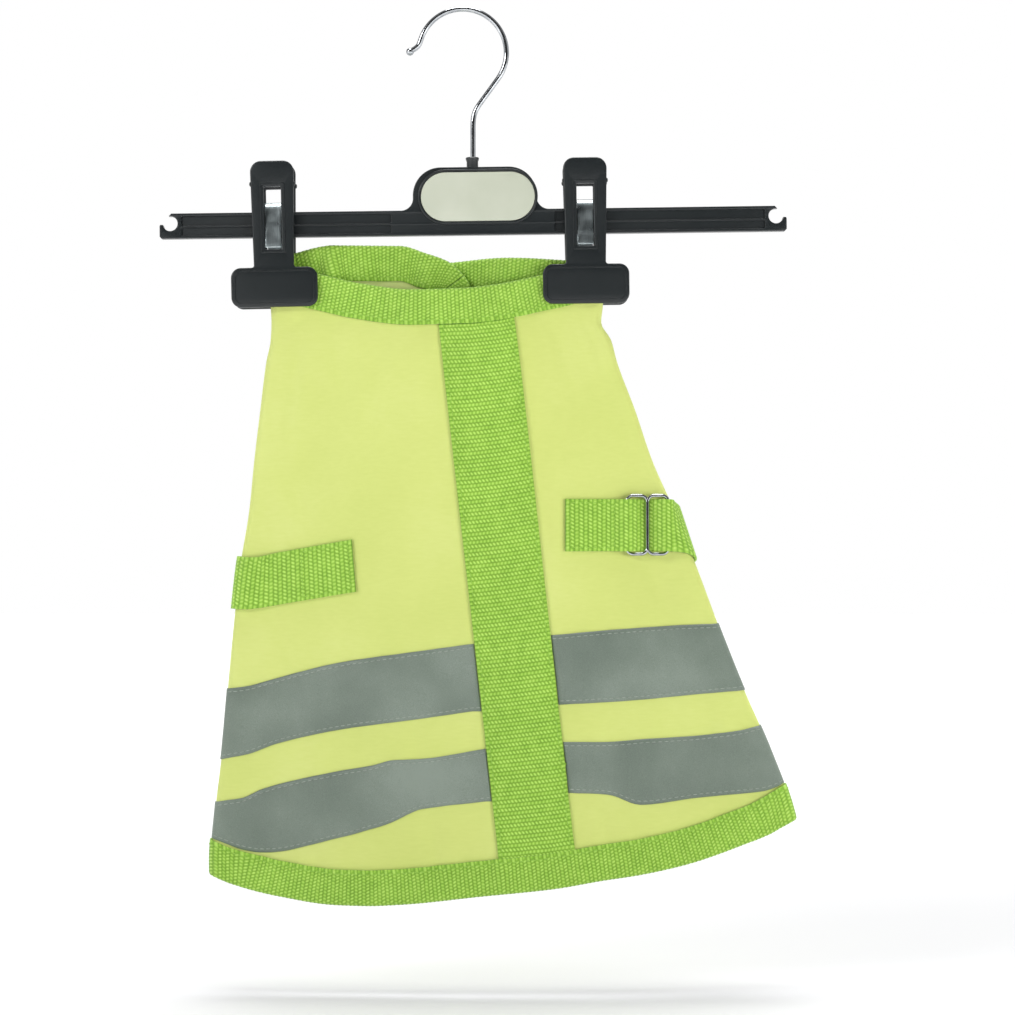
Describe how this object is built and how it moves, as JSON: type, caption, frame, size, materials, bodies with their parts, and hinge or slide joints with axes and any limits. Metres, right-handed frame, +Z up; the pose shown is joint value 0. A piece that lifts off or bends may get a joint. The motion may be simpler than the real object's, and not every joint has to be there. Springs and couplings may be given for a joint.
{
  "type": "reflective dog coat on a clip hanger",
  "caption": "High-visibility yellow dog coat with green webbing trim, grey reflective tapes and a belly strap, hanging folded flat from a black clip hanger with a wire hook.",
  "frame": {"origin": "the point on the inside of the hanger's hook, at its top, where a rail bears", "axes": "+X to the viewer's right along the hanger's bar, +Y away from the viewer, who sees the back panel of the coat, and +Z up; the coat hangs below the origin"},
  "size_m": [0.3192, 0.0308, 0.4499],
  "materials": {
    "yellow_cloth": "matt fluorescent yellow polyester weave",
    "green_webbing": "coarse plain-woven bright green webbing",
    "reflective_tape": "fine-grained grey retro-reflective tape",
    "chrome_wire": "bright plated steel wire",
    "black_plastic": "moulded black plastic with a soft gloss",
    "pale_plate": "bare pale grey-green plastic",
    "spring_steel": "dull galvanised strip"
  },
  "bodies": {
    "root": {"coat_body": "yellow_cloth", "neck_binding": "green_webbing", "edge_binding": "green_webbing", "centre_band": "green_webbing", "upper_tape_left": "reflective_tape", "upper_tape_right": "reflective_tape", "lower_tape_left": "reflective_tape", "lower_tape_right": "reflective_tape", "belly_strap": "green_webbing", "strap_slider": "chrome_wire", "hanger_bar": "black_plastic", "hanger_plate": "pale_plate", "hanger_hook": "chrome_wire", "clip_left_front": "black_plastic", "clip_left_back": "black_plastic", "clip_left_spring": "spring_steel", "clip_right_front": "black_plastic", "clip_right_back": "black_plastic", "clip_right_spring": "spring_steel"}
  },
  "joints": []
}
